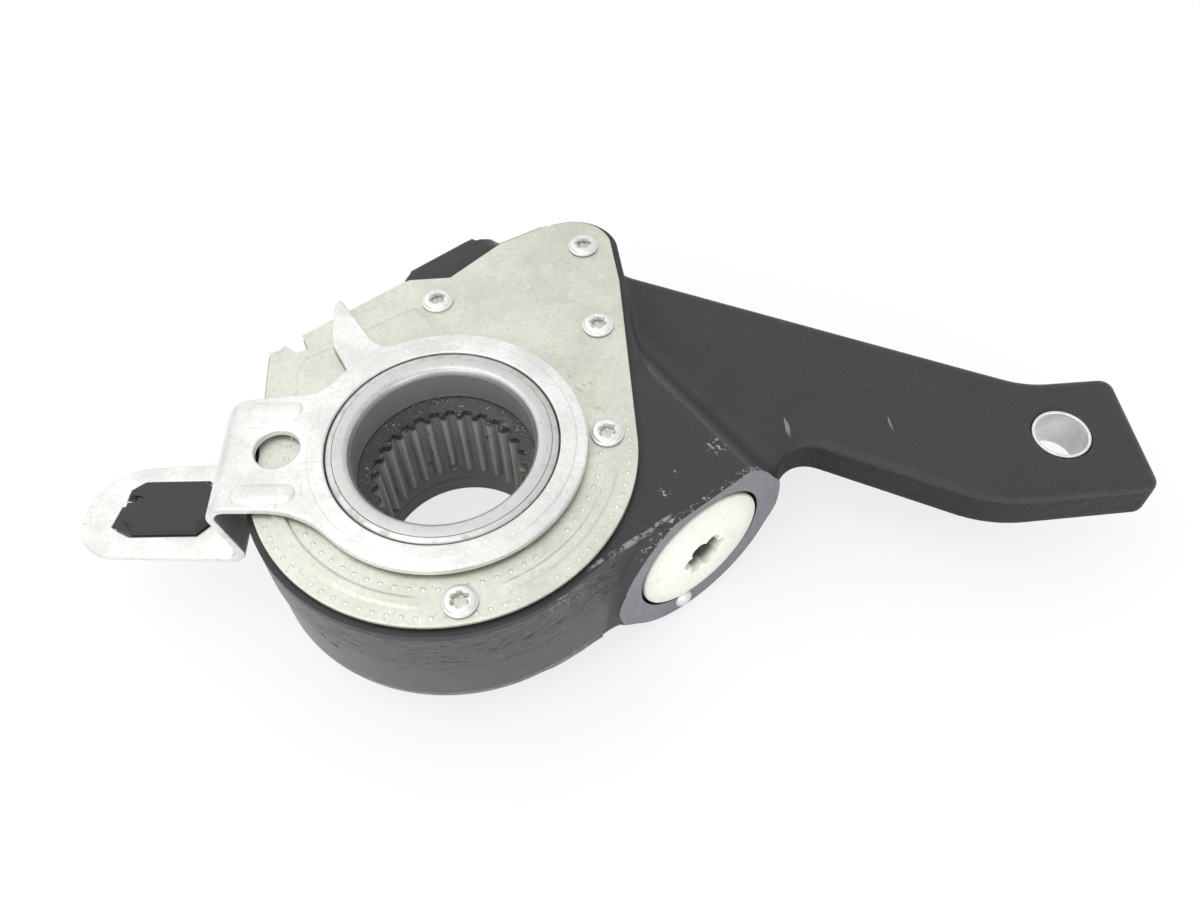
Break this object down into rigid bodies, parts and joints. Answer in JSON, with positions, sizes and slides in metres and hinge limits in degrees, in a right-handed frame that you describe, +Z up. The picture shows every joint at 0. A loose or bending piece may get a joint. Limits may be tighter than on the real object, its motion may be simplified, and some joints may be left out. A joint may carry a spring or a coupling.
{
  "type": "brake slack adjuster",
  "caption": "Self-setting lever for a cam brake: black cast body with a splined worm wheel, zinc cover, swinging sheet-metal control arm and a cranked arm that ends in a bushed clevis eye.",
  "frame": {"origin": "middle of the bounding box's base, on the surface that the part lies on", "axes": "+X from the spline bore towards the clevis eye, +Y across the lever towards the cover's apex, +Z up along the bore axis towards the cover"},
  "size_m": [0.2632, 0.1278, 0.051],
  "materials": {
    "black_paint": "satin black paint over a cast surface",
    "zinc_plate": "zinc plating, pale grey with a warm tinge",
    "bright_zinc": "bright zinc plating on steel",
    "machined_steel": "machined steel, lightly greased",
    "oiled_steel": "dark oiled steel",
    "spring_steel": "tempered spring steel",
    "bronze": "bearing bronze",
    "seal_rubber": "black nitrile rubber",
    "black_plastic": "matte black moulded plastic",
    "gasket_paper": "oiled gasket sheet"
  },
  "bodies": {
    "body": {"housing": "black_paint", "cover_plate": "zinc_plate", "cover_gasket": "gasket_paper", "cover_screw_1": "bright_zinc", "cover_screw_2": "bright_zinc", "cover_screw_3": "bright_zinc", "cover_screw_4": "bright_zinc", "cover_screw_5": "bright_zinc", "front_wheel_bush": "bronze", "rear_wheel_bush": "bronze", "rear_wheel_seal": "seal_rubber", "clevis_bush": "bright_zinc", "tail_bush": "bronze", "tail_seal": "seal_rubber", "control_shaft_bush": "bronze", "end_cap": "zinc_plate", "end_cap_seal": "seal_rubber", "lock_pin": "bright_zinc"},
    "splined_wheel": {"worm_wheel": "machined_steel"},
    "worm": {"worm_shaft": "machined_steel", "clutch_sleeve": "oiled_steel", "thrust_bearing": "machined_steel", "spring_seat": "oiled_steel", "thrust_spring": "spring_steel"},
    "control_arm_set": {"control_arm": "bright_zinc", "control_ring": "machined_steel", "slot_insert": "black_plastic", "control_arm_seal": "seal_rubber"},
    "control_shaft": {"control_worm_shaft": "machined_steel"},
    "clutch_drive": {"control_worm_wheel": "oiled_steel", "one_way_spring": "spring_steel"}
  },
  "joints": [
    {"name": "worm_wheel_spin", "type": "hinge", "parent": "body", "child": "splined_wheel", "pos_m": [-0.03947, -0.01708, 0.0254], "axis": [0, 0, 1], "continuous": true},
    {"name": "worm_spin", "type": "hinge", "parent": "body", "child": "worm", "pos_m": [-0.00728, 0.00367, 0.0254], "axis": [0.5417, -0.8406, 0], "continuous": true},
    {"name": "control_arm_swing", "type": "hinge", "parent": "body", "child": "control_arm_set", "pos_m": [-0.03947, -0.01708, 0.0494], "axis": [0, 0, 1], "range_deg": [-4, 60]},
    {"name": "control_worm_spin", "type": "hinge", "parent": "body", "child": "control_shaft", "pos_m": [-0.03623, 0.0209, 0.0254], "axis": [0, 0, 1], "range_deg": [-342, 24]},
    {"name": "clutch_drive_spin", "type": "hinge", "parent": "body", "child": "clutch_drive", "pos_m": [-0.00728, 0.00367, 0.0254], "axis": [0.5417, -0.8406, 0], "range_deg": [-18, 2]}
  ],
  "couplings": [
    {"joint": "worm_spin", "follows": "worm_wheel_spin", "ratio": 22},
    {"joint": "control_worm_spin", "follows": "control_arm_swing", "ratio": -5.6667},
    {"joint": "clutch_drive_spin", "follows": "control_arm_swing", "ratio": -0.28333}
  ]
}
